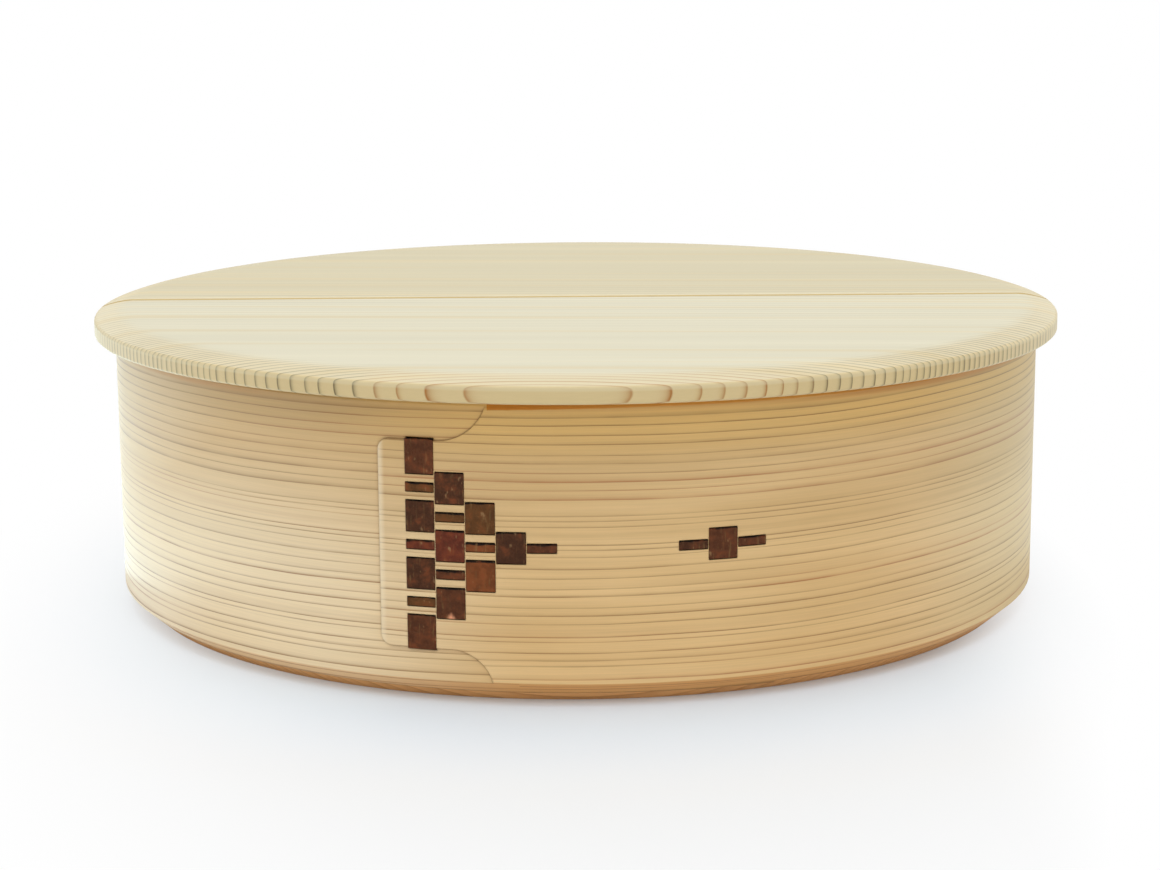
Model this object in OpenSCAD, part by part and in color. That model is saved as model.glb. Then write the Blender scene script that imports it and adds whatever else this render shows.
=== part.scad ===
// Rice tub of bent cedar: one thin board bent round and lapped on itself, sewn with cherry bark,
// with a round base board set inside and a flat lid in two halves that rests on the rim.
// Millimetres. The origin is the middle of the base's underside, +Z is up and the front faces -Y.

/* [Tub] */
// Outside diameter of the bent wall
tub_d = 302.8; // [240:0.2:360]
// Height of the rim above the table
rim_h = 88.1; // [84:0.1:96]
// Thickness of the bent board
wall_t = 4.2; // [3.4:0.1:6]
// Thickness of the base board
base_t = 9; // [7:0.5:12]
// Height of the bevel planed round the foot
foot_h = 6.5; // [5:0.1:7.5]
// How far the foot bevel runs in under the tub
foot_in = 7.5; // [6:0.1:9]
// Width of the bevel on the rim's outer edge
rim_bevel_w = 0.9; // [0.4:0.1:1.2]
// Height of the bevel on the rim's outer edge
rim_bevel_h = 1.8; // [0.6:0.1:2.4]
// Bevel on the rim's inner edge
rim_inner_bevel = 0.7; // [0.3:0.1:1.2]
// Glue line between the wall and the base board
glue_line = 0.05; // [0.02:0.01:0.1]

/* [Lap joint] */
// Where the tongue's tip stands round the tub, in degrees from +X
tip_angle = -112.1; // [-130:0.1:-95]
// Distance along the wall from the tongue's tip to the inner end of the board
lap_len = 117; // [100:1:135]
// Distance from the tongue's tip to the edge that runs the full height
tongue_len = 32.3; // [30:0.1:38]
// Height of the tongue's lower edge above the table
tongue_low = 16.1; // [14:0.1:18]
// Distance from the rim down to the tongue's upper edge
tongue_drop = 12; // [9:0.1:14]
// Radius of the tongue's two corners
tongue_corner_r = 3.2; // [1:0.1:5]
// Radius of the hollow shoulder above the tongue
shoulder_r = 14.8; // [8:0.1:18]
// Radius of the hollow shoulder below the tongue
low_shoulder_r = 12.5; // [8:0.1:16]
// How much further from the tip the lower shoulder ends than the upper one
low_shoulder_on = 1.1; // [0:0.1:2]
// How far the tongue's tip stands proud of the wall under it
tip_step = 0.9; // [0.5:0.05:1.2]
// Distance over which the outer step dies away
tip_run = 78; // [64:1:82]
// How far the inner end stands into the tub
inner_step = 0.9; // [0.5:0.05:1.2]
// Distance from the last column's strip to where the inner end begins to stand into the tub
inner_clear = 11.6; // [2:0.1:13]

/* [Bark stitching] */
// Width of a bark strip
bark_w = 8.4; // [7:0.1:8.4]
// Thickness of a bark strip
bark_t = 0.5; // [0.4:0.05:0.7]
// How deep a bark strip is let into the wall
bark_let_in = 0.4; // [0.2:0.05:0.5]
// Distance between the middles of two columns
column_pitch = 8.7; // [8.7:0.05:9.4]
// Distance from the tongue's tip to the middle of the first column
first_column = 12.4; // [11:0.1:14]
// Height of a patch
patch_h = 8.8; // [8:0.1:9.4]
// Height of a narrow stitch
narrow_h = 2.4; // [2:0.1:3]
// Height of the wood left between a patch and a narrow stitch
bridge_h = 2.7; // [2.4:0.1:3]
// How far the first column's end patches reach past the tongue's edges
edge_over = 0.4; // [0.2:0.1:0.8]
// Distance from the inner end of the board back to the middle of the small group on the right
tie_back = 18.3; // [16:0.1:21]
// Room above and below a strip where it enters its slit
slit_room = 0.3; // [0.1:0.05:0.5]
// Room at each side of a strip in its bed and in its slit
slit_side = 0.05; // [0.02:0.01:0.1]
// Length of a strip's end, laid flat on the inside
tail_len = 3; // [2:0.1:3.4]

/* [Lid] */
// How far the lid stands out past the wall
lid_over = 6.6; // [3:0.1:12]
// Thickness of the lid boards
lid_t = 7.5; // [6.5:0.1:12]
// Width of the crown, planed round the lid's upper edge
crown_w = 13.5; // [8:0.1:16]
// Radius of the crown's flatter part
crown_r = 38; // [36:0.5:60]
// Radius of the lid's outermost edge
edge_r = 1; // [0.5:0.1:2.4]
// Bevel on the lid's lower edge
lower_bevel = 0.5; // [0.2:0.1:1]
// Gap between the two halves
seam_gap = 1; // [0.2:0.05:1.5]
// Rounding of the two arrises along the gap
arris_r = 2.4; // [0.4:0.1:3]

/* [Battens] */
// Width of a batten
batten_w = 16; // [12:0.5:22]
// How far a batten stands down from the lid
batten_h = 9; // [6:0.5:14]
// Distance of a batten's middle from the tub's middle
batten_at = 72; // [50:1:85]
// Room between a batten's end and the inside of the wall
batten_room = 3; // [1.5:0.5:8]
// Distance of a batten's other end from the lid's middle line
batten_back = 7; // [4:0.5:20]
// How deep a batten is housed in the lid
housing_d = 2.5; // [1.5:0.1:3]
// Width of the housing at the lid's underside
housing_w = 10; // [8:0.5:11]
// How much wider the housing is at its bottom, on each side
housing_flare = 0.8; // [0.4:0.1:1.2]
// Slope at a batten's lower ends
batten_slope = 4; // [2:0.5:6]

/* [Hidden] */
$fn = 180;
cedar = [0.87, 0.75, 0.57];
pale_cedar = [0.90, 0.85, 0.70];
bark = [0.32, 0.17, 0.13];

tub_r = tub_d / 2;
inside_r = tub_r - wall_t;
lid_r = tub_r + lid_over;
tongue_high = rim_h - tongue_drop;
// The stitching is centred on the tongue
stitch_z = (tongue_low + tongue_high) / 2;
patch_pitch = patch_h + narrow_h + 2 * bridge_h;
// How far a cutting solid runs past what it cuts
past = 3;

// The lapped ends are eased off on round surfaces with shifted centres. Each surface crosses the
// plain wall at a shallow angle, this many degrees before the direction its centre is shifted along.
ease = 12;
tip_shift = tip_step / (cos(ease) - cos(degrees_of(tip_run) + ease));
tip_grow = tip_shift * cos(ease);
tip_dir = angle_at(tip_run) + ease;
inner_start = first_column + 4 * column_pitch + bark_w / 2 + inner_clear;
inner_shift = inner_step / (cos(ease) - cos(degrees_of(lap_len - inner_start) + ease));
inner_grow = inner_shift * cos(ease);
inner_dir = angle_at(inner_start) - ease;

// Angle taken by a distance along a round surface, and the angle at a distance from the tongue's tip
function degrees_of(along, r = tub_r) = along / r * 180 / PI;
function angle_at(along) = tip_angle + degrees_of(along);

// Heights of a column's stitches, as [bottom, top] pairs from the top down. A column of n patches
// has a narrow stitch midway between each two, and a column of none is one narrow stitch.
function span(middle, h) = [middle - h / 2, middle + h / 2];
function stitch_rows(n) =
    n == 0 ? [span(stitch_z, narrow_h)] :
    [for (i = [0 : 2 * n - 2])
        span(stitch_z + (n - 1 - i) * patch_pitch / 2, i % 2 == 0 ? patch_h : narrow_h)];
// The first column's end patches are drawn out to just past the tongue's edges
function drawn_out(rows) =
    [for (i = [0 : len(rows) - 1]) [
        i == len(rows) - 1 ? tongue_low - edge_over : rows[i][0],
        i == 0 ? tongue_high + edge_over : rows[i][1]
    ]];
// Patches in each column and in each strip of the small group, from the left
column_patches = [4, 3, 2, 1, 0];
tie_patches = [0, 1, 0];
function column_rows(k) = k == 0 ? drawn_out(stitch_rows(column_patches[k])) : stitch_rows(column_patches[k]);
function tie_rows(k) = stitch_rows(tie_patches[k]);

// A block between two angles, two radii and two heights
module sector(from, to, r0, r1, z0, z1) {
    rotate([0, 0, from])
        rotate_extrude(angle = to - from)
            translate([r0, z0])
                square([r1 - r0, z1 - z0]);
}

// A wedge of the space round the tub's axis
module wedge(from, to, z0, z1) {
    sector(from, to, inside_r - 3 * wall_t, tub_r + 3 * wall_t, z0, z1);
}

// Places what follows on the shifted axis of the tongue's outer surface, or of the inner end's
module on_tip_axis() {
    translate(-tip_shift * [cos(tip_dir), sin(tip_dir), 0]) children();
}
module on_inner_axis() {
    translate(inner_shift * [cos(inner_dir), sin(inner_dir), 0]) children();
}

// What stays of the board at a hollow shoulder that ends at x, above an edge (side 1) or below it (-1)
module shoulder(x, edge_z, r, side) {
    difference() {
        translate([x - r, edge_z - (side > 0 ? past : r)])
            square([r + past, r + past]);
        translate([x - r, edge_z + side * r])
            circle(r);
    }
}

// Outline of what is cut away beside the tongue, drawn flat from the tip, with heights upwards
module tongue_waste() {
    difference() {
        union() {
            translate([-2 * past, -past])
                square([tongue_len + 2 * past, rim_h + 2 * past]);
            translate([0, -past])
                square([tongue_len + low_shoulder_on, tongue_low + past]);
        }
        translate([0, tongue_low + tongue_corner_r])
            square([tongue_len + past, tongue_high - tongue_low - 2 * tongue_corner_r]);
        translate([tongue_corner_r, tongue_low])
            square([tongue_len + past, tongue_high - tongue_low]);
        for (z = [tongue_low + tongue_corner_r, tongue_high - tongue_corner_r])
            translate([tongue_corner_r, z])
                circle(tongue_corner_r);
        shoulder(tongue_len, tongue_high, shoulder_r, 1);
        shoulder(tongue_len + low_shoulder_on, tongue_low, low_shoulder_r, -1);
    }
}

// The outer end of the board, lifted clear of the wall under it and cut to its tongue
module lifted_end() {
    middle = tongue_len / 2;
    difference() {
        intersection() {
            wedge(angle_at(-past), tip_dir, 0, rim_h);
            on_tip_axis()
                cylinder(r = tub_r + tip_grow, h = rim_h);
        }
        cylinder(r = tub_r - wall_t / 2, h = rim_h);
        rotate([0, 0, angle_at(middle)])
            translate([inside_r, -middle, 0])
                rotate([90, 0, 90])
                    linear_extrude(4 * wall_t)
                        tongue_waste();
    }
}

// The space inside the wall, with the inner end of the board standing into it
module tub_space(gap, z0, z1) {
    difference() {
        translate([0, 0, z0])
            cylinder(r = inside_r - gap, h = z1 - z0);
        difference() {
            wedge(inner_dir, angle_at(lap_len + gap), z0 - past, z1 + past);
            on_inner_axis()
                translate([0, 0, z0 - 2 * past])
                    cylinder(r = inside_r - inner_grow - gap, h = z1 - z0 + 4 * past);
        }
    }
}

// What the plane takes off round the foot
module foot_waste() {
    slope = foot_h / foot_in;
    far = tub_r + past;
    deep = tub_r - foot_in - past;
    rotate_extrude()
        polygon([
            [deep, -past * slope],
            [far, foot_h + past * slope],
            [far, -past * slope]
        ]);
}

// What the plane takes off the rim, outside and inside
module rim_waste() {
    slope = rim_bevel_h / rim_bevel_w;
    rotate_extrude()
        polygon([
            [tub_r - rim_bevel_w - past / slope, rim_h + past],
            [tub_r + past, rim_h - rim_bevel_h - past * slope],
            [tub_r + past, rim_h + past]
        ]);
    rotate_extrude()
        polygon([
            [inside_r - past, rim_h - rim_inner_bevel - past],
            [inside_r - past, rim_h + past],
            [inside_r + rim_inner_bevel + past, rim_h + past]
        ]);
}

// Half the angle that a strip takes in its slits and inside, where it is drawn in a little
drawn_half = degrees_of(bark_w / 2 - slit_side);

// One strip of bark, worked down a column: outside over each stitch and inside behind each bridge
// of wood. face is the outer surface's radius and back the inner one's.
module strip_outside(middle, rows, face) {
    half = degrees_of(bark_w / 2, face);
    for (row = rows)
        sector(middle - half, middle + half, face - bark_let_in, face - bark_let_in + bark_t, row[0], row[1]);
}
module strip_through(middle, rows, reach) {
    for (row = rows, z = [row[0], row[1] - bark_t])
        sector(middle - drawn_half, middle + drawn_half, reach[0], reach[1], z, z + bark_t);
}
module strip_inside(middle, rows, back) {
    last = len(rows) - 1;
    for (i = [0 : last + 1]) {
        top = i == 0 ? rows[0][1] + tail_len : rows[i - 1][0] + bark_t;
        bottom = i > last ? rows[last][0] - tail_len : rows[i][1] - bark_t;
        sector(middle - drawn_half, middle + drawn_half, back - bark_t, back, bottom, top);
    }
}

// The shallow beds and the slits that a strip lies and passes in
module strip_beds(middle, rows, face) {
    half = degrees_of(bark_w / 2 + slit_side, face);
    for (row = rows)
        sector(middle - half, middle + half, face - bark_let_in, face + past, row[0], row[1]);
}
module strip_slits(middle, rows, reach) {
    half = degrees_of(bark_w / 2);
    for (row = rows, z = [row[0] - slit_room, row[1] - bark_t])
        sector(middle - half, middle + half, reach[0], reach[1], z, z + bark_t + slit_room);
}

function column_middle(k) = angle_at(first_column + k * column_pitch);
function tie_middle(k) = angle_at(lap_len - tie_back + (k - 1) * column_pitch);
// Radius of the tongue's outer surface, and of the inner end's inner one, about the tub's own axis
function face_at(angle) = tub_r + tip_grow - tip_shift * cos(angle - tip_dir);
function back_at(angle) = inside_r - inner_grow + inner_shift * cos(angle - inner_dir);
// Angle of a place on the tongue's surface as it is seen from that surface's shifted axis
function tip_view(angle) = atan2(
    face_at(angle) * sin(angle) + tip_shift * sin(tip_dir),
    face_at(angle) * cos(angle) + tip_shift * cos(tip_dir));
// The same for the inner end
function inner_view(angle) = atan2(
    back_at(angle) * sin(angle) - inner_shift * sin(inner_dir),
    back_at(angle) * cos(angle) - inner_shift * cos(inner_dir));

module bark_column(k) {
    at = column_middle(k);
    rows = column_rows(k);
    on_tip_axis()
        strip_outside(tip_view(at), rows, tub_r + tip_grow);
    strip_through(at, rows, [inside_r - bark_t, face_at(at) - bark_let_in + bark_t / 2]);
    strip_inside(at, rows, inside_r);
}

module bark_tie(k) {
    at = tie_middle(k);
    rows = tie_rows(k);
    strip_outside(at, rows, tub_r);
    strip_through(at, rows, [back_at(at) - bark_t / 2, tub_r - bark_let_in + bark_t / 2]);
    on_inner_axis()
        strip_inside(inner_view(at), rows, inside_r - inner_grow);
}

module bent_wall() {
    color(cedar)
    difference() {
        union() {
            cylinder(r = tub_r, h = rim_h);
            lifted_end();
        }
        tub_space(0, -past, rim_h + past);
        foot_waste();
        rim_waste();
        for (k = [0 : 4]) {
            on_tip_axis()
                strip_beds(tip_view(column_middle(k)), column_rows(k), tub_r + tip_grow);
            strip_slits(column_middle(k), column_rows(k), [inside_r - past, tub_r + past]);
        }
        for (k = [0 : 2]) {
            strip_beds(tie_middle(k), tie_rows(k), tub_r);
            strip_slits(tie_middle(k), tie_rows(k), [inside_r - past, tub_r + past]);
        }
    }
}

module base_board() {
    color(cedar)
    difference() {
        tub_space(glue_line, 0, base_t);
        foot_waste();
    }
}

// Half section of the lid above its underside: flat, then a flat arc and a small one at the edge
module lid_section() {
    flat_r = lid_r - crown_w;
    edge_x = lid_r - edge_r;
    edge_z = lid_t - crown_r + sqrt(pow(crown_r - edge_r, 2) - pow(edge_x - flat_r, 2));
    meet_x = flat_r + (edge_x - flat_r) * crown_r / (crown_r - edge_r);
    difference() {
        polygon([
            [0, 0], [lid_r - lower_bevel, 0], [lid_r, lower_bevel], [lid_r, lid_t], [0, lid_t]
        ]);
        difference() {
            translate([flat_r, lower_bevel])
                square([crown_w + past, lid_t]);
            translate([flat_r, lid_t - crown_r])
                circle(crown_r);
        }
        difference() {
            translate([meet_x, edge_z])
                square([crown_w, lid_t]);
            translate([edge_x, edge_z])
                circle(edge_r);
        }
    }
}

function batten_end() = sqrt(pow(inside_r - batten_room, 2) - pow(batten_at + batten_w / 2, 2));

// Dovetailed section of a batten's housing, above the lid's underside
module housing_section() {
    polygon([
        [-housing_w / 2, 0], [housing_w / 2, 0],
        [housing_w / 2 + housing_flare, housing_d], [-housing_w / 2 - housing_flare, housing_d]
    ]);
}

// Rear half of the lid. The front half is the same, turned half round.
module lid_half() {
    color(pale_cedar)
    difference() {
        translate([0, 0, rim_h])
            rotate_extrude()
                lid_section();
        translate([-2 * lid_r, -4 * lid_r + seam_gap / 2, rim_h - past])
            cube([4 * lid_r, 4 * lid_r, lid_t + 2 * past]);
        translate([-lid_r - past, seam_gap / 2, rim_h + lid_t])
            rotate([90, 0, 90])
                linear_extrude(2 * lid_r + 2 * past)
                    difference() {
                        translate([-past, -arris_r])
                            square([arris_r + past, arris_r + past]);
                        translate([arris_r, -arris_r])
                            circle(arris_r);
                    }
        for (x = [-batten_at, batten_at])
            translate([x, batten_end(), rim_h])
                rotate([90, 0, 0])
                    linear_extrude(batten_end() + past)
                        housing_section();
    }
}

// A batten of the rear half, at the distance x from the middle. Its lower ends are sloped.
module batten(x) {
    long = batten_end() - batten_back;
    color(cedar)
    translate([x, batten_back, rim_h])
    intersection() {
        translate([0, long, 0])
            rotate([90, 0, 0])
                linear_extrude(long) {
                    translate([-batten_w / 2, -batten_h])
                        square([batten_w, batten_h]);
                    housing_section();
                }
        translate([-batten_w, 0, 0])
            rotate([90, 0, 90])
                linear_extrude(2 * batten_w)
                    polygon([
                        [0, housing_d], [0, -batten_h + batten_slope], [batten_slope, -batten_h],
                        [long - batten_slope, -batten_h], [long, -batten_h + batten_slope], [long, housing_d]
                    ]);
    }
}

module turned() {
    rotate([0, 0, 180]) children();
}

bent_wall();
base_board();
turned() lid_half();  // lid_front
lid_half();  // lid_rear
turned() batten(batten_at);  // batten_front_left
turned() batten(-batten_at);  // batten_front_right
batten(-batten_at);  // batten_rear_left
batten(batten_at);  // batten_rear_right
color(bark) bark_column(0);  // bark_column_1
color(bark) bark_column(1);  // bark_column_2
color(bark) bark_column(2);  // bark_column_3
color(bark) bark_column(3);  // bark_column_4
color(bark) bark_column(4);  // bark_column_5
color(bark) bark_tie(0);  // bark_tie_1
color(bark) bark_tie(1);  // bark_tie_2
color(bark) bark_tie(2);  // bark_tie_3
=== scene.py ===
"""A bent cedar rice tub with a split lid, sewn with cherry bark: its finishes, floor, light and camera."""
import math

import bmesh
import bpy
from mathutils import Matrix, Vector


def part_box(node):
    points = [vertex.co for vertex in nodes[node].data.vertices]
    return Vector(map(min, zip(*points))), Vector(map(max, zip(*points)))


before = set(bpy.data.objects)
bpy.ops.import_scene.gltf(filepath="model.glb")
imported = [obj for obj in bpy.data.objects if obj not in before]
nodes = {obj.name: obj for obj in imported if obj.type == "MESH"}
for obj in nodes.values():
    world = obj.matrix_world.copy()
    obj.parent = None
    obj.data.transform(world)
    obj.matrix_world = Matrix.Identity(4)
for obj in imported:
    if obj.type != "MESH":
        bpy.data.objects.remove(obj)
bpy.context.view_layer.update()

# Sizes in metres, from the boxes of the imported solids
RIM_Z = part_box("bent_wall")[1].z
TUB_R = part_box("bent_wall")[1].x
LID_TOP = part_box("lid_rear")[1].z
LID_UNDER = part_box("lid_rear")[0].z
LID_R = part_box("lid_rear")[1].x

# Sizes in metres inside those boxes, as the solids have them
WALL_T = 0.0042
FOOT_H = 0.0065
FOOT_IN = 0.0075
RIM_BEVEL_W = 0.0009
RIM_BEVEL_H = 0.0018
TIP_ANGLE = math.radians(-112.1)
TONGUE_LEN = 0.0323
LAP_LEN = 0.117
STITCH_Z = 0.0461
PATCH_H = 0.0088
NARROW_H = 0.0024
BRIDGE_H = 0.0027
STITCH_STEP = (PATCH_H + NARROW_H) / 2 + BRIDGE_H

# Where the upper shoulder meets the rim
SHOULDER_X = -0.0262


# Building blocks of the finishes

def tone(red, green, blue):
    """A colour with channels from 0 to 255, as a shader takes it."""
    def linear(c):
        c = c / 255
        return c / 12.92 if c <= 0.04045 else ((c + 0.055) / 1.055) ** 2.4
    return (linear(red), linear(green), linear(blue), 1)


class Value:
    """A number that changes over a surface. Sums with it add the nodes that they need."""

    def __init__(self, sheet, socket):
        self.sheet = sheet
        self.socket = socket

    def __add__(self, other):
        return self.sheet.sum("ADD", self, other)

    def __sub__(self, other):
        return self.sheet.sum("SUBTRACT", self, other)

    def __rsub__(self, other):
        return self.sheet.sum("SUBTRACT", other, self)

    def __mul__(self, other):
        return self.sheet.sum("MULTIPLY", self, other)

    def __truediv__(self, other):
        return self.sheet.sum("DIVIDE", self, other)

    def __pow__(self, other):
        return self.sheet.sum("POWER", self, other)

    def __gt__(self, other):
        return self.sheet.sum("GREATER_THAN", self, other)

    def __lt__(self, other):
        return self.sheet.sum("LESS_THAN", self, other)

    __radd__ = __add__
    __rmul__ = __mul__

    def swing(self, amount):
        """Noise with its middle moved to 0, and made wider or narrower."""
        return (self - 0.5) * amount


class Sheet:
    """The nodes of one material or of the studio around the tub."""

    def __init__(self, tree):
        self.tree = tree

    def feed(self, socket, source):
        """Sets a socket, or links it to a value or another socket."""
        if isinstance(source, Value):
            source = source.socket
        if isinstance(source, bpy.types.NodeSocket):
            self.tree.links.new(source, socket)
        else:
            socket.default_value = source

    def node(self, kind, settings=None, inputs=None):
        """Adds a node: its settings first, then the values or links of its sockets."""
        made = self.tree.nodes.new("ShaderNode" + kind)
        for name, setting in (settings or {}).items():
            if name == "stops":
                for i, (at, colour) in enumerate(setting):
                    stop = made.color_ramp.elements[i] if i < 2 else made.color_ramp.elements.new(at)
                    stop.position = at
                    stop.color = colour
            elif name == "blend":
                made.color_ramp.interpolation = setting
            else:
                setattr(made, name, setting)
        for name, source in (inputs or {}).items():
            self.feed(made.inputs[name], source)
        return made

    def sum(self, operation, *terms):
        """One Math node on values or numbers."""
        made = self.node("Math", {"operation": operation}, dict(enumerate(terms)))
        return Value(self, made.outputs[0])

    def most(self, first, second):
        """The larger of two values."""
        return self.sum("MAXIMUM", first, second)

    def size(self, value):
        """A value without its sign."""
        return self.sum("ABSOLUTE", value)

    def length(self, x, y):
        """How far a place on the flat lies from the middle."""
        return self.sum("SQRT", x * x + y * y)

    def split(self, vector):
        """A vector's three values."""
        parts = self.node("SeparateXYZ", None, {0: vector})
        return [Value(self, parts.outputs[i]) for i in range(3)]

    def point(self, x, y, z):
        """A vector from three values."""
        return self.node("CombineXYZ", None, {0: x, 1: y, 2: z}).outputs[0]

    def cloud(self, point, detail=2.0, roughness=0.5):
        """Smooth noise, from about 0.3 to 0.7 round a middle of 0.5."""
        made = self.node("TexNoise", None, {
            "Vector": point, "Scale": 1.0, "Detail": detail, "Roughness": roughness})
        return Value(self, made.outputs[0])

    def ripple(self, along, seed):
        """Smooth noise along one line."""
        made = self.node("TexNoise", {"noise_dimensions": "1D"}, {
            "W": along + seed, "Scale": 1.0, "Detail": 1.0})
        return Value(self, made.outputs[0])

    def chance(self, number, seed):
        """A chance value from 0 to 1 for each whole number."""
        made = self.node("TexWhiteNoise", {"noise_dimensions": "1D"}, {"W": number + seed})
        return Value(self, made.outputs[0])

    def ease(self, value, low, high, start=0.0, end=1.0):
        """Turns low to high into start to end, smoothly, and holds the ends."""
        made = self.node("MapRange", {"interpolation_type": "SMOOTHSTEP"}, {
            0: value, 1: low, 2: high, 3: start, 4: end})
        return Value(self, made.outputs[0])

    def ramp(self, value, stops, blend="LINEAR"):
        """A colour for each value, from stops of a place and its colour."""
        made = self.node("ValToRGB", {"stops": stops, "blend": blend}, {0: value})
        return made.outputs[0]

    def mixed(self, factor, first, second, kind="MIX"):
        """One colour over another."""
        made = self.node("Mix", {"data_type": "RGBA", "blend_type": kind}, {0: factor, 6: first, 7: second})
        return made.outputs[2]

    def shaded(self, colour, value):
        """A colour made lighter or darker by a number."""
        grey = self.node("CombineColor", None, {0: value, 1: value, 2: value}).outputs[0]
        return self.mixed(1.0, colour, grey, "MULTIPLY")

    def blended(self, factor, first, second):
        """One shader over another."""
        return self.node("MixShader", None, {0: factor, 1: first, 2: second}).outputs[0]

    def ray(self, kind):
        """1 for rays of one kind, such as the camera's, and 0 for others."""
        return Value(self, self.node("LightPath").outputs[kind])


class Finish(Sheet):
    """A material for one kind of piece. constants are the shader's own sockets."""

    def __init__(self, name, **constants):
        self.material = bpy.data.materials.new(name)
        self.material.use_nodes = True
        super().__init__(self.material.node_tree)
        self.shader = self.tree.nodes["Principled BSDF"]
        for label, amount in constants.items():
            self.shader.inputs[label.replace("_", " ").title().replace("Ior", "IOR")].default_value = amount

    def axes(self):
        """The three coordinates of a point on the piece, in metres."""
        return self.split(self.node("TexCoord").outputs["Object"])

    def crevice(self, reach):
        """Near 1 on open wood and lower in a crevice narrower than reach."""
        made = self.node("AmbientOcclusion", {"samples": 12, "only_local": False}, {"Distance": reach})
        return Value(self, made.outputs["AO"])

    def relief(self, height, distance, strength, rounding):
        """Fine relief, over arrises that are rounded off."""
        worn = self.node("Bevel", {"samples": 8}, {"Radius": rounding}).outputs[0]
        made = self.node("Bump", None, {
            "Height": height, "Distance": distance, "Strength": strength, "Normal": worn})
        self.feed(self.shader.inputs["Normal"], made.outputs[0])

    def show(self, colour, roughness):
        """Sets the surface's colour and roughness, and gives the finished material."""
        self.feed(self.shader.inputs["Base Color"], colour)
        self.feed(self.shader.inputs["Roughness"], roughness)
        return self.material


# Cedar, the same for every board

def late_wood(f, years, fade, least, seed):
    """Late wood in a running count of years: strongest just past each whole number, fading from there.
    least is the strength of the weakest year, where the strongest has 1."""
    onset = 0.07
    whole = f.sum("FLOOR", years)
    part = years - whole
    weight = f.chance(whole, seed) * (1 - least) + least
    return f.ease(part, 0.0, onset) * ((1 + onset - part) ** fade) * weight


def fibres(f, along, across, through, fine):
    """Fine streaks that run along the grain. fine is about their number to a metre."""
    lengthwise = 30
    return f.cloud(f.point(along * lengthwise, across * fine, through * fine), 3.0, 0.6)


# The wall: growth lines that run round the tub, along the board

# The usual width of a year, and how far the growth lines wave and drift along the board
WALL_YEAR = 0.0027
WALL_WAVE = 0.0022
WALL_DRIFT = 0.012


def on_cone(f, radius, wanted):
    """1 where a plane has cut a cone of the wanted radius, and 0 elsewhere."""
    sure = 0.00004
    off = 0.0002
    return f.ease(f.size(radius - wanted), sure, off, 1.0, 0.0)


def board_place(f, x, y, radius):
    """How far along the bent board a point lies, from its tongue's tip."""
    turn = -TIP_ANGLE - math.pi
    ahead = x * math.cos(turn) - y * math.sin(turn)
    aside = x * math.sin(turn) + y * math.cos(turn)
    along = (f.sum("ARCTAN2", aside, ahead) + math.pi) * TUB_R
    # Beside the tongue and its shoulders, and inside the lap, the board's other end shows
    past_shoulders = TONGUE_LEN + 0.008
    past_lap = LAP_LEN + 0.002
    proud = 0.00015
    beside = (along < past_shoulders) * (radius < TUB_R + proud)
    inside = (along < past_lap) * (radius < TUB_R - WALL_T / 2)
    return along + f.most(beside, inside) * (2 * math.pi * TUB_R)


def wall_years(f, along, z):
    """A running count of the growth lines, from the foot up."""
    wave = f.cloud(f.point(along * 9, z * 30, 0.3))
    drift = f.cloud(f.point(along * 1.7, 0.0, 5.0), 1.0)
    steady = (z + wave.swing(WALL_WAVE) + drift.swing(WALL_DRIFT)) / WALL_YEAR
    # Some years are much wider than others
    return steady + f.ripple(steady * 0.6, 3.0).swing(1.7)


def planed_face(f, x, z, along, painted_sheen, palest):
    """The early wood's colour on the planed face, with painted shade under the lid and painted sheen at the
    sides.
    """
    broad = f.cloud(f.point(along * 7, z * 55, 9.0))
    planed = f.ramp(broad, [(0.3, tone(208, 172, 114)), (0.7, tone(225, 191, 135))])
    # Painted shade: under the lid's edge the wood is painted a deeper gold, darkest at the left
    under_lid_shade = f.mixed(f.ease(x, -0.08, -0.02), tone(200, 165, 106), tone(232, 189, 108))
    planed = f.mixed(f.ease(z, 0.068, 0.084, 0.0, 0.8), planed, under_lid_shade)
    # Painted sheen at the sides, palest at the far left
    planed = f.mixed(painted_sheen, planed, tone(238, 220, 184))
    planed = f.mixed(palest, planed, tone(250, 240, 216))
    # Painted sheen: the right side is painted a little greener and paler
    return f.mixed(f.ease(x, 0.09, 0.14, 0.0, 0.4), planed, tone(208, 194, 144))


def sawn_foot(f, x, painted_sheen, palest):
    """The early wood's colour in the bevel at the foot, which is cut across the board, with painted sheen
    towards the left.
    """
    paler = f.ease(x, -0.14, -0.1, 1.0, 0.0) + f.ease(x, -0.06, -0.01, 0.3, 0.0)
    sawn = f.mixed(f.most(painted_sheen, paler), tone(216, 167, 104), tone(240, 214, 172))
    return f.mixed(palest, sawn, tone(255, 246, 224))


def shade_rim(f, x, y, z, radius, ground):
    """Adds painted shade under the lid: a dark gold on the rim's bevel, and a painted shadow on the wall
    right under it.
    """
    # Left of the upper shoulder the rim is set back and gets none of this painted shade, as far as the left
    # side
    shade_shows = f.most(x > SHOULDER_X, f.ease(y, -0.09, 0.0))
    slope = RIM_BEVEL_W / RIM_BEVEL_H
    rim = on_cone(f, radius, (RIM_Z - z) * slope + (TUB_R - RIM_BEVEL_W)) * shade_shows
    gold = f.mixed(f.ease(x, -0.02, 0.03), tone(216, 142, 38), tone(236, 172, 76))
    rim_shaded = f.mixed(rim, ground, gold)
    # The painted shadow is wider at the sides
    sides = f.ease(x, 0.03, 0.09, 0.0, 0.6) + f.ease(x, -0.12, -0.07, 0.45, 0.0)
    wide = f.ease(z, RIM_Z - 0.004, RIM_Z - 0.0025) * sides
    narrow = f.ease(z, RIM_Z - 0.0034, RIM_Z - 0.0018, 0.0, 0.4) * shade_shows
    return f.mixed(f.most(wide, narrow), rim_shaded, tone(190, 120, 44))


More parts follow.
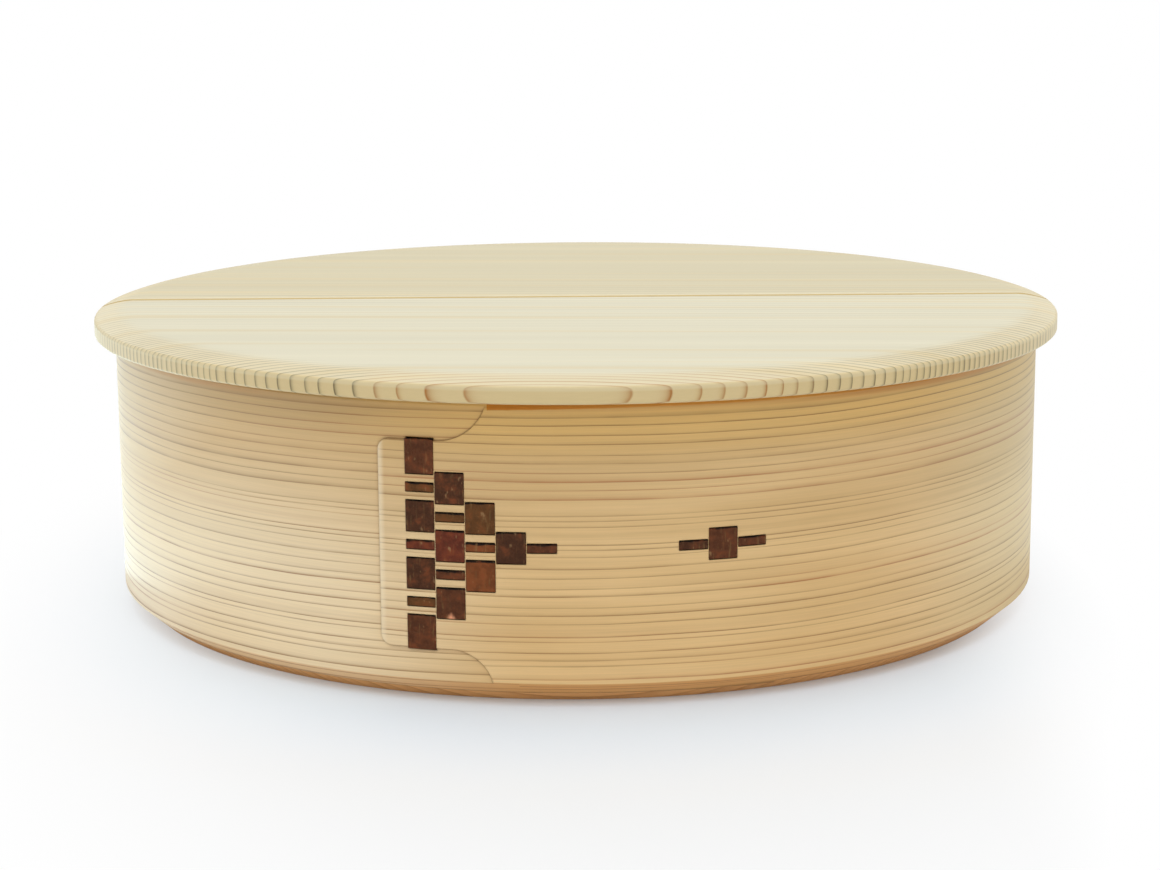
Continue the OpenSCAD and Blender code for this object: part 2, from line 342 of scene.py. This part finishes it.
def wall_cedar():
    """Planed cedar, bent round."""
    f = Finish("cedar_wall_planed")
    x, y, z = f.axes()
    radius = f.length(x, y)
    along = board_place(f, x, y, radius)
    # Painted sheen: low at the sides the board is painted paler, and palest at the far left
    low = f.ease(z, 0.03, 0.08, 0.8, 0.0)
    sides = f.ease(x, -0.08, -0.01, 1.0, 0.0) + f.ease(x, 0.07, 0.14, 0.0, 0.4)
    painted_sheen = f.most(low * sides, f.ease(x, -0.145, -0.095, 0.6, 0.0))
    palest = f.ease(x, -0.148, -0.105, 0.9, 0.0) * f.ease(z, 0.006, 0.04, 1.0, 0.0)
    # Early wood: the planed face, the bevel at the foot and the rim
    foot = on_cone(f, radius, z * (FOOT_IN / FOOT_H) + (TUB_R - FOOT_IN)) * (z < 2 * FOOT_H)
    planed = planed_face(f, x, z, along, painted_sheen, palest)
    ground = f.mixed(foot, planed, sawn_foot(f, x, painted_sheen, palest))
    # Painted shade on the rim's bevel and just under the lid
    ground = shade_rim(f, x, y, z, radius, ground)
    # Late wood, redder in patches and all along the foot
    dark = late_wood(f, wall_years(f, along, z), fade=7.5, least=0.6, seed=7.0)
    dark = dark * f.ease(f.cloud(f.point(along * 40, z * 160, 1.7)), 0.3, 0.6, 0.6, 1.0)
    reddish = f.ease(f.cloud(f.point(along * 5, z * 70, 21.0), 1.0), 0.5, 0.66)
    late = f.mixed(f.most(foot, reddish), tone(142, 98, 44), tone(168, 102, 50))
    grown = f.mixed(dark, ground, late)
    # Fibre streaks, and painted shade: the board is lighter towards the foot and darker towards the rim
    streak = fibres(f, along, z, radius, fine=2600)
    lined = f.shaded(grown, f.ease(streak, 0.25, 0.75, 0.94, 1.03) * f.ease(z, 0.0, RIM_Z, 1.12, 0.94))
    # Painted highlight: the tongue's tip is painted pale along its arris
    highlit = f.mixed(f.ease(along, 0.0004, 0.0022, 0.55, 0.0), lined, tone(244, 228, 194))
    # Crevices get painted shade from an occlusion node, and the glued joint that shows in the foot is dark
    crevice_shade = f.ease(f.crevice(0.0013), 0.45, 0.98, 0.7, 0.0)
    inside_r = TUB_R - WALL_T
    joint = f.ease(radius, inside_r, inside_r + 0.0004, 0.3, 0.0) * foot
    f.relief(streak * 0.3 + dark * 0.15, distance=0.00008, strength=0.4, rounding=0.0006)
    return f.show(f.mixed(f.most(crevice_shade, joint), highlit, tone(126, 86, 42)), 0.52 - dark * 0.1)


# The lid: quarter-sawn half boards, with the growth lines along the gap

# The rings lean a little against the gap, and are nearly flat through the board's thickness
RING_LEAN = math.radians(3.45)
RING_SAG = 30
RING_MIDDLE_Z = LID_TOP - 0.0044

# The years to a metre at the gap, and how fast they crowd outward
LID_YEARS = 170
LID_CROWDING = 1063

# From here inward the tree grew slowly for a while, and the years stand closer
SLOW_FROM = 0.1235
SLOW_SPAN = 0.055

# How far below the top the planed crown goes down, and how far from the middle the gap's arris reaches
CROWN_H = 0.0025
ARRIS_OUT = 0.0029


def lid_years(f, depth, seed):
    """A running count of the growth rings, from the gap outward."""
    slow = f.sum("MINIMUM", f.most(SLOW_FROM - depth, 0.0), SLOW_SPAN)
    added = slow * slow * 1000 - slow * 150
    steady = depth * LID_YEARS + depth * depth * LID_CROWDING + added - 0.5
    return steady + f.ripple(steady * 0.5, seed).swing(0.3)


def lid_cedar(name, facing, seed, top_tone):
    """One half board. facing is -1 for the front half and 1 for the rear."""
    f = Finish(name)
    x, y, z = f.axes()
    sag = z - RING_MIDDLE_Z
    outward = (y * math.cos(RING_LEAN) + x * math.sin(RING_LEAN)) * facing - sag * sag * RING_SAG
    depth = outward + f.cloud(f.point(x * 6, outward * 25, seed), 1.0).swing(0.0006)
    # The lines show best on the planed crown and the edge, where they are cut across
    crown_end = LID_TOP - CROWN_H
    crown = f.ease(z, LID_TOP - 0.0008, LID_TOP - 0.00002, 1.0, 0.0)
    edge = f.ease(z, crown_end - 0.0001, crown_end + 0.0007, 1.0, 0.0)
    # Painted highlight: towards both ends, most at the left, the lines fade and the edge is painted paler;
    # at the corners the lines fade most
    ends = f.ease(x, -0.15, -0.1, 0.9, 0.0) + f.ease(x, 0.11, 0.155, 0.0, 0.6)
    corner = f.ease(f.size(x), 0.14, 0.156, 1.0, 0.3)
    shows = (crown * 0.65 + edge * 0.15 + 0.2) * (1 - ends * 0.45) * corner
    fade = f.ease(depth, 0.108, 0.13, 4.0, 9.0)
    dark = late_wood(f, lid_years(f, depth, seed), fade, least=0.7, seed=seed) * shows
    # Early wood: a pale top with warmer streaks, and a deeper edge
    broad = f.cloud(f.point(x * 1.5, outward * 75, seed + 3))
    warm = f.cloud(f.point(x * 2.5, outward * 140, seed + 8))
    top = f.mixed(f.ease(warm, 0.5, 0.68, 0.0, 0.55), top_tone, tone(212, 194, 148))
    top = f.shaded(top, f.ease(broad, 0.3, 0.7, 0.96, 1.04))
    planed = f.ramp(broad, [(0.3, tone(211, 189, 137)), (0.7, tone(217, 195, 145))])
    # Painted highlight at the ends of the edge
    planed = f.mixed(ends, planed, tone(232, 218, 180))
    pale = f.mixed(f.most(edge, crown * 0.4), top, planed)
    # Towards the middle of the front the late wood is cut flatter and looks redder
    red = f.ease(outward, 0.136, 0.146) * f.ease(x, -0.064, -0.055)
    grown = f.mixed(dark, pale, f.mixed(red, tone(98, 82, 44), tone(170, 112, 44)))
    streak = fibres(f, x, outward, z, fine=2200)
    lined = f.shaded(grown, f.ease(streak, 0.25, 0.75, 0.98, 1.015))
    # Painted highlights: the rounded arris along the gap is painted pale, and so are the arrises round the
    # edge
    aside = f.size(y)
    gap_highlight = f.ease(aside, ARRIS_OUT - 0.0004, ARRIS_OUT + 0.0005, 0.7, 0.0)
    highlit = f.mixed(gap_highlight, lined, tone(222, 212, 180))
    outer = f.length(x, y) > LID_R - 0.0008
    upper = f.ease(f.size(z - (crown_end - 0.0006)), 0.0002, 0.001, 0.35, 0.0)
    lower = f.ease(z, LID_UNDER + 0.0003, LID_UNDER + 0.0009, 0.2, 0.0)
    highlit = f.mixed(f.most(upper, lower) * outer, highlit, tone(228, 218, 182))
    # Painted shade down in the gap
    gap = f.ease(aside, 0.0017, 0.0021, 1.0, 0.0)
    f.relief(streak * 0.3 + dark * 0.3, distance=0.0001, strength=0.4, rounding=0.0004)
    return f.show(f.mixed(gap, highlit, tone(198, 174, 118)), 0.54 - dark * 0.05)


# The base board and the battens, which hardly show

def plain_cedar(name, along_x, seed, count, early, late):
    """Straight-grained board. along_x says that the grain runs along X, and not along Y. count is the
    number of years to a metre, and early and late are the tones of their wood."""
    f = Finish(name)
    x, y, z = f.axes()
    along, across = (x, y) if along_x else (y, x)
    bow = f.cloud(f.point(along * 6, across * 25, seed), 1.0)
    steady = (across + bow.swing(0.003) + z * 0.3) * count
    years = steady + f.ripple(steady * 0.5, seed).swing(0.9)
    dark = late_wood(f, years, fade=3.2, least=0.45, seed=seed)
    streak = fibres(f, along, across, z, fine=2200)
    lined = f.shaded(f.mixed(dark, early, late), f.ease(streak, 0.25, 0.75, 0.95, 1.03))
    f.relief(streak * 0.3 + dark * 0.4, distance=0.0001, strength=0.5, rounding=0.0005)
    return f.show(lined, 0.56 - dark * 0.08)


# The bark: strips of cherry, each a row of stitches with a colour of its own

DARK = tone(77, 45, 26)
BROWN = tone(90, 51, 29)
OLIVE = tone(98, 62, 30)
RED = tone(102, 48, 30)
TAN = tone(122, 68, 34)
# Painted shadow in the slits
SLIT_SHADOW = tone(34, 20, 12)

# The colours of each strip's stitches, from the top down
BARK_COLUMNS = [
    [BROWN, OLIVE, DARK, RED, DARK, OLIVE, BROWN],
    [DARK, OLIVE, RED, BROWN, BROWN],
    [OLIVE, TAN, TAN],
    [DARK],
    [BROWN],
]
BARK_TIES = [[DARK], [BROWN], [BROWN]]

# The first strip's top patch reaches further up into its slit
DRAWN_OUT = 0.0011

# One large pale spot stands on the lower edge of the second strip's last patch
SPOT_X = -0.037
SPOT_Z = 0.0246
SPOT_HALF_W = 0.0021
SPOT_H = 0.003


def stitch_heights(count, patches_first):
    """The middle and half height of each stitch of a strip, from the top down."""
    heights = []
    for i in range(count):
        is_patch = patches_first and i % 2 == 0
        middle = STITCH_Z + ((count - 1) / 2 - i) * STITCH_STEP
        heights.append((middle, (PATCH_H if is_patch else NARROW_H) / 2))
    return heights


def bark_finish(name, tones, patches_first, drawn_out=0.0, has_pale_spot=False):
    """Polished cherry bark. tones are the colours of a strip's stitches, from the top down."""
    f = Finish(name, specular_ior_level=0.12)
    x, y, z = f.axes()
    heights = stitch_heights(len(tones), patches_first)
    # The ramp of colours runs past both ends of the strip
    past_end = 0.01
    low = heights[-1][0] - past_end
    high = heights[0][0] + past_end
    shadow_band = 0.0004
    stops = []
    for i in reversed(range(len(tones))):
        middle, half = heights[i]
        top = middle + half + (drawn_out if i == 0 else 0)
        stops.append(((middle - half - BRIDGE_H / 2 - low) / (high - low), tones[i]))
        stops.append(((top - shadow_band - low) / (high - low), SLIT_SHADOW))
    # The upper edge of each stitch turns in to its slit: a painted shadow there, a little uneven
    uneven = f.cloud(f.point(x * 260, y * 260, z * 60))
    own = f.ramp((z + uneven.swing(0.0011) - low) / (high - low), stops, "CONSTANT")
    blotch = f.cloud(f.point(x * 330, y * 330, z * 330), 3.0, 0.6)
    fleck = f.cloud(f.point(x * 900, y * 900, z * 420))
    lines = f.cloud(f.point(x * 1500, y * 1500, z * 160))
    worn = f.mixed(f.ease(blotch, 0.5, 0.74, 0.0, 0.6), own, tone(126, 66, 36))
    worn = f.mixed(f.ease(lines, 0.6, 0.74, 0.0, 0.38), worn, tone(134, 106, 66))
    worn = f.mixed(f.ease(fleck, 0.64, 0.76, 0.0, 0.5), worn, tone(158, 126, 88))
    worn = f.shaded(worn, f.ease(blotch, 0.3, 0.6, 0.74, 1.12))
    if has_pale_spot:
        # It narrows upward
        away = f.size(x - SPOT_X) / SPOT_HALF_W + (z - SPOT_Z) / SPOT_H + fleck.swing(0.5)
        worn = f.mixed(f.ease(away, 0.25, 1.0, 0.95, 0.0), worn, tone(240, 168, 128))
    f.relief(fleck * 0.3 + blotch * 0.7, distance=0.00025, strength=0.6, rounding=0.0004)
    return f.show(worn, f.ease(blotch, 0.3, 0.7, 0.2, 0.42))


def dress(node_names, material):
    """Gives CAD nodes their finish."""
    for name in node_names:
        for slot in nodes[name].material_slots:
            slot.material = material


def dress_tub():
    """Gives each piece of the tub its finish."""
    dress(["bent_wall"], wall_cedar())
    # The front half's top tone is paler and greyer than the rear's: painted sheen
    dress(["lid_front"],
          lid_cedar("cedar_lid_front", facing=-1, seed=11.0, top_tone=tone(211, 205, 179)))
    dress(["lid_rear"],
          lid_cedar("cedar_lid_rear", facing=1, seed=23.0, top_tone=tone(203, 193, 160)))
    dress(["base_board"],
          plain_cedar("cedar_base_board", along_x=True, seed=31.0, count=420,
                      early=tone(238, 185, 122), late=tone(198, 142, 84)))
    dress(["batten_front_left", "batten_front_right", "batten_rear_left", "batten_rear_right"],
          plain_cedar("cedar_battens", along_x=False, seed=41.0, count=400,
                      early=tone(206, 182, 138), late=tone(160, 116, 68)))
    for number, tones in enumerate(BARK_COLUMNS, 1):
        # The last column is a narrow stitch alone
        finish = bark_finish(f"cherry_column_{number}", tones,
                             patches_first=number < len(BARK_COLUMNS),
                             drawn_out=DRAWN_OUT if number == 1 else 0.0,
                             has_pale_spot=number == 2)
        dress([f"bark_column_{number}"], finish)
    for number, tones in enumerate(BARK_TIES, 1):
        # Only the middle tie is a patch
        finish = bark_finish(f"cherry_tie_{number}", tones, patches_first=number == 2)
        dress([f"bark_tie_{number}"], finish)


# Floor, light and camera

WHITE = (1, 1, 1, 1)
FLOOR_R = 6.0
PAPER = (0.77, 0.78, 0.785, 1)
COOL_PAPER = (0.79, 0.88, 0.98, 1)
CARD_TONE = (0.68, 0.93, 1.0)
CARD_W = 0.3
CARD_Z = 0.01
TUB_MIDDLE = (0, 0, 0.05)

# The photograph's camera: its place and turn were fitted to the lid's and the rim's outlines
PHOTO_W = 1160
FOCAL_LENGTH_PX = 2581.87
CAMERA_PLACE = (-0.00733, -0.8527, 0.2181)
CAMERA_PITCH = 0.196497
CAMERA_YAW = 0.0099
CAMERA_ROLL = -0.0060822


def floor_finish():
    """White paper that keeps the shadow near the tub and turns plain white further out."""
    f = Finish("white_paper", roughness=0.9, specular_ior_level=0.2)
    x, y, z = f.axes()
    # The real shadow is mixed with plain white by a painted mask: it lies a little to the right, is longest
    # in front, and is lightened on the right
    spread = f.length((x - 0.015) * 1.85, y)
    lift = f.most(f.ease(spread, 0.165, 0.42, 0.08, 1.0), f.ease(y, -0.12, 0.2, 0.0, 0.75))
    lift = lift + f.ease(x, 0.1, 0.15, 0.0, 0.45)
    # Near the tub the paper is painted cooler, against the warm light off the cedar
    shade = f.mixed(f.ease(f.length(x, y), 0.15, 0.23), COOL_PAPER, PAPER)
    paper = f.node("BsdfDiffuse", None, {"Color": shade}).outputs[0]
    white = f.node("Emission", None, {"Color": WHITE, "Strength": 1.0}).outputs[0]
    f.feed(f.tree.nodes["Material Output"].inputs["Surface"],
           f.blended(f.ray("Is Camera Ray"), f.shader.outputs[0], f.blended(lift, paper, white)))
    return f.material


def make_floor():
    """A wide disc of paper under the tub."""
    form = bmesh.new()
    bmesh.ops.create_circle(form, cap_ends=True, cap_tris=False, segments=96, radius=FLOOR_R)
    mesh = bpy.data.meshes.new("floor")
    form.to_mesh(mesh)
    form.free()
    floor = bpy.data.objects.new("floor", mesh)
    bpy.context.scene.collection.objects.link(floor)
    mesh.materials.append(floor_finish())


def make_studio():
    """Even light all round, with a white backdrop that gloss shows too, and a darker camera side."""
    world = bpy.data.worlds.new("studio")
    world.use_nodes = True
    world.node_tree.nodes.clear()
    bpy.context.scene.world = world
    s = Sheet(world.node_tree)

    def surround(strength):
        return s.node("Background", None, {"Color": WHITE, "Strength": strength}).outputs[0]

    light = surround(0.72)
    backdrop = surround(1.0)
    camera_side = surround(0.2)
    backward = s.split(s.node("TexCoord").outputs["Generated"])[1]
    gloss = s.blended(s.ease(backward, -0.7, 0.2), camera_side, backdrop)
    seen = s.blended(s.ray("Is Glossy Ray"), light, gloss)
    out = s.node("OutputWorld")
    s.feed(out.inputs["Surface"], s.blended(s.ray("Is Camera Ray"), seen, backdrop))


def make_lamp(name, place, target, size, power, gloss_only=False):
    """A soft lamp, or a card that only gloss sees."""
    lamp = bpy.data.lights.new(name, "AREA")
    if gloss_only:
        lamp.color = CARD_TONE
    lamp.shape = "RECTANGLE"
    lamp.size, lamp.size_y = size
    lamp.energy = power
    holder = bpy.data.objects.new(name, lamp)
    holder.location = place
    holder.rotation_euler = (Vector(target) - Vector(place)).to_track_quat("-Z", "Y").to_euler()
    holder.visible_camera = False
    holder.visible_diffuse = not gloss_only
    bpy.context.scene.collection.objects.link(holder)


def make_card(name, x, y, length, power):
    """A card that lies face up on the floor, beside the tub."""
    make_lamp(name, (x, y, CARD_Z), (x, y, 1), (CARD_W, length), power, gloss_only=True)


def make_camera():
    """The camera of the photograph."""
    level = Vector((math.cos(CAMERA_YAW), -math.sin(CAMERA_YAW), 0))
    heading = Vector((math.sin(CAMERA_YAW), math.cos(CAMERA_YAW), 0))
    ahead = heading * math.cos(CAMERA_PITCH) + Vector((0, 0, -math.sin(CAMERA_PITCH)))
    up = level.cross(ahead)
    right = math.cos(CAMERA_ROLL) * level + math.sin(CAMERA_ROLL) * up
    top = -math.sin(CAMERA_ROLL) * level + math.cos(CAMERA_ROLL) * up
    lens = bpy.data.cameras.new("camera")
    lens.sensor_width = 36
    lens.lens = FOCAL_LENGTH_PX / PHOTO_W * lens.sensor_width
    lens.clip_start = 0.01
    lens.clip_end = 50
    camera = bpy.data.objects.new("camera", lens)
    turn = Matrix((right, top, -ahead)).transposed().to_4x4()
    camera.matrix_world = Matrix.Translation(CAMERA_PLACE) @ turn
    bpy.context.scene.collection.objects.link(camera)
    bpy.context.scene.camera = camera


dress_tub()
make_floor()
make_studio()
make_lamp("overhead", (0, 0.1, 1.4), TUB_MIDDLE, size=(1.6, 1.2), power=9)
make_lamp("front_above", (0, -1.0, 1.2), TUB_MIDDLE, size=(1.6, 0.6), power=3.3)
make_card("left_card", -0.3, 0.31, length=0.98, power=2.2)
make_card("right_card", 0.31, 0.38, length=0.96, power=0.65)
make_camera()
bpy.context.scene.view_settings.view_transform = "Standard"
